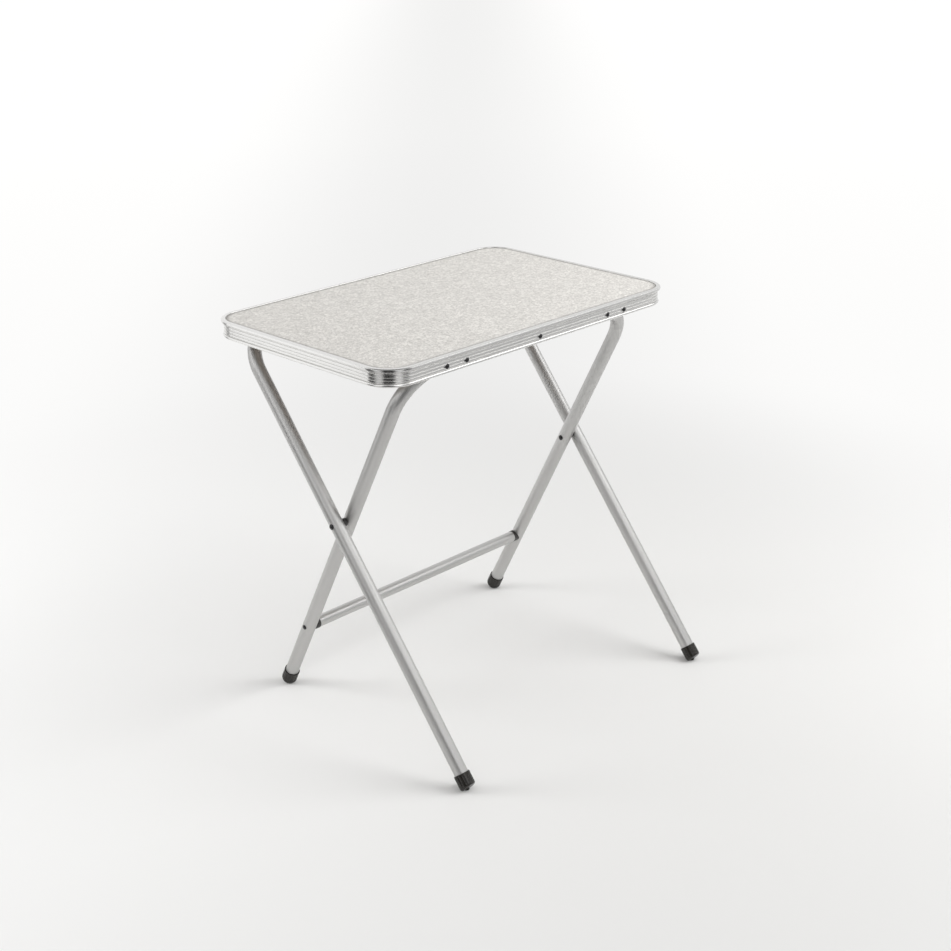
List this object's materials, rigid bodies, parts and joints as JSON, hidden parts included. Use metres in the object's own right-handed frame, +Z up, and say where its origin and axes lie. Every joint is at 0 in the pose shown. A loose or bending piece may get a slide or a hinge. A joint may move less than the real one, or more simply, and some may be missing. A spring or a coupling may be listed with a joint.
{
  "type": "folding side table",
  "caption": "Folding side table: laminate top in a ribbed metal edge strip, on crossed U-shaped tube frames with a crossbar and capped feet.",
  "frame": {"origin": "on the floor under the middle of the whole outline", "axes": "+X along the top's long side, +Y towards the hinge side, +Z up"},
  "size_m": [0.63, 0.5168, 0.632],
  "materials": {
    "laminate": "pale mottled laminate, matt",
    "edge_strip": "bright anodised extrusion",
    "frame_tube": "satin anodised",
    "crossbar": "satin anodised",
    "foot_cap": "moulded black plastic",
    "black_moulding": "moulded black plastic",
    "bracket": "moulded black plastic",
    "black_rivet": "black lacquered",
    "plated_steel": "zinc plated"
  },
  "bodies": {
    "tabletop": {"tabletop_board": "laminate", "edge_profile": "edge_strip", "profile_joiner": "plated_steel", "hinge_bracket_left": "bracket", "hinge_bracket_right": "bracket", "catch_bracket_left": "bracket", "catch_bracket_right": "bracket", "board_clip_front": "plated_steel", "board_clip_rear": "plated_steel", "clip_screws": "plated_steel", "front_rivets": "black_rivet", "rear_rivets": "black_rivet"},
    "outer_frame": {"outer_frame_tube": "frame_tube", "outer_foot_left": "foot_cap", "outer_foot_right": "foot_cap", "pivot_spacer_left": "black_moulding", "pivot_spacer_right": "black_moulding", "pivot_rivet_left": "black_rivet", "pivot_rivet_right": "black_rivet"},
    "inner_frame": {"inner_frame_tube": "frame_tube", "inner_foot_left": "foot_cap", "inner_foot_right": "foot_cap", "crossbar_tube": "crossbar", "crossbar_saddle_left": "black_moulding", "crossbar_saddle_right": "black_moulding", "crossbar_rivet_left": "black_rivet", "crossbar_rivet_right": "black_rivet"}
  },
  "joints": [
    {"name": "top_hinge", "type": "hinge", "parent": "tabletop", "child": "outer_frame", "pos_m": [0, 0.23438, 0.607], "axis": [1, 0, 0], "range_deg": [0, 65.4]},
    {"name": "scissor", "type": "hinge", "parent": "outer_frame", "child": "inner_frame", "pos_m": [0, 0.02367, 0.34528], "axis": [1, 0, 0], "range_deg": [-65.4, 0]}
  ],
  "couplings": [
    {"joint": "scissor", "follows": "top_hinge", "ratio": -1}
  ]
}
